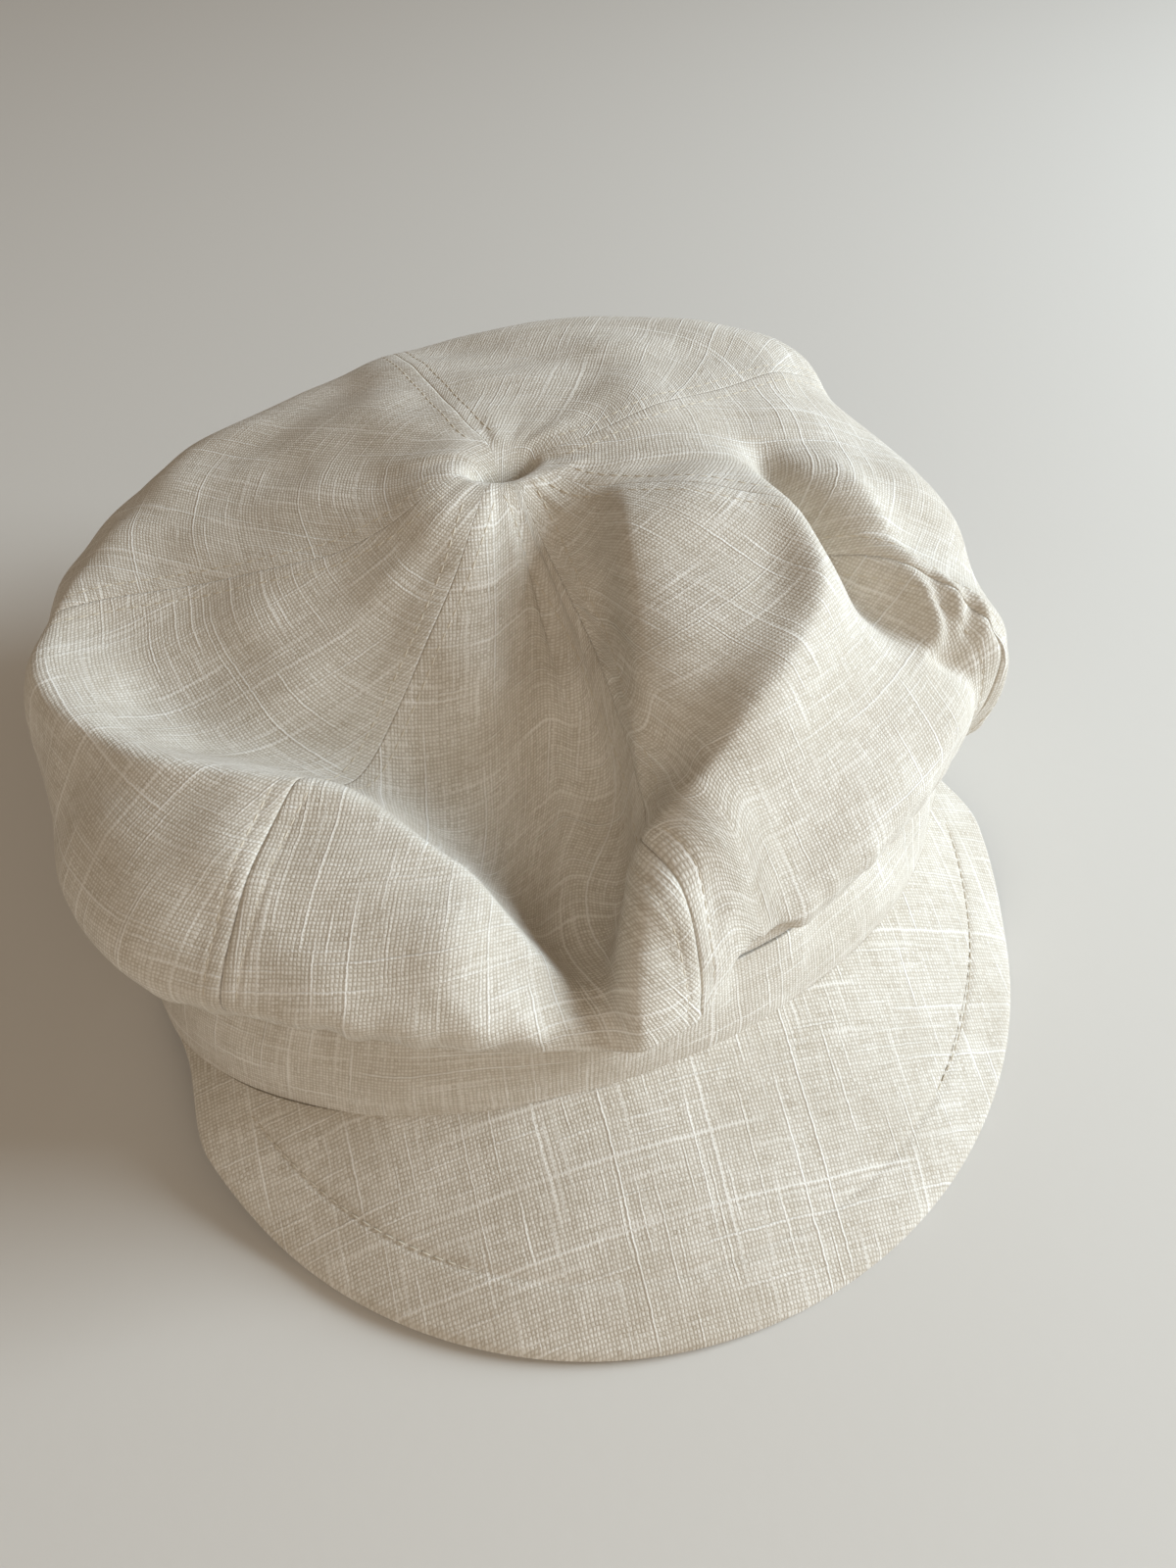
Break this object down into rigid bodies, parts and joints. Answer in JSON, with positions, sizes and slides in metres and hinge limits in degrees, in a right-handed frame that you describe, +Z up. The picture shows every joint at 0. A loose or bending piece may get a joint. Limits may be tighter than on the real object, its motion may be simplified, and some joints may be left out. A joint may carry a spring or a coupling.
{
  "type": "soft peaked cap",
  "caption": "Soft linen baker-boy cap with a gathered panel crown, a plain band and a stitched crescent visor, lying by itself on a surface.",
  "frame": {"origin": "bottom centre of the cap's box, on the surface that it lies on", "axes": "+Z up, -Y towards the visor's tip at the front of the cap, +X to the right of a viewer who stands in front of the visor and looks at the cap"},
  "size_m": [0.2272, 0.2582, 0.1067],
  "materials": {
    "crown_linen": "matte slub plain weave",
    "band_linen": "matte slub plain weave",
    "visor_linen": "matte slub plain weave, topstitched"
  },
  "bodies": {
    "root": {"crown_panel_left_back": "crown_linen", "crown_panel_left": "crown_linen", "crown_panel_left_front": "crown_linen", "crown_panel_right_front": "crown_linen", "crown_panel_right": "crown_linen", "crown_panel_right_back": "crown_linen", "band": "band_linen", "visor": "visor_linen"}
  },
  "joints": []
}
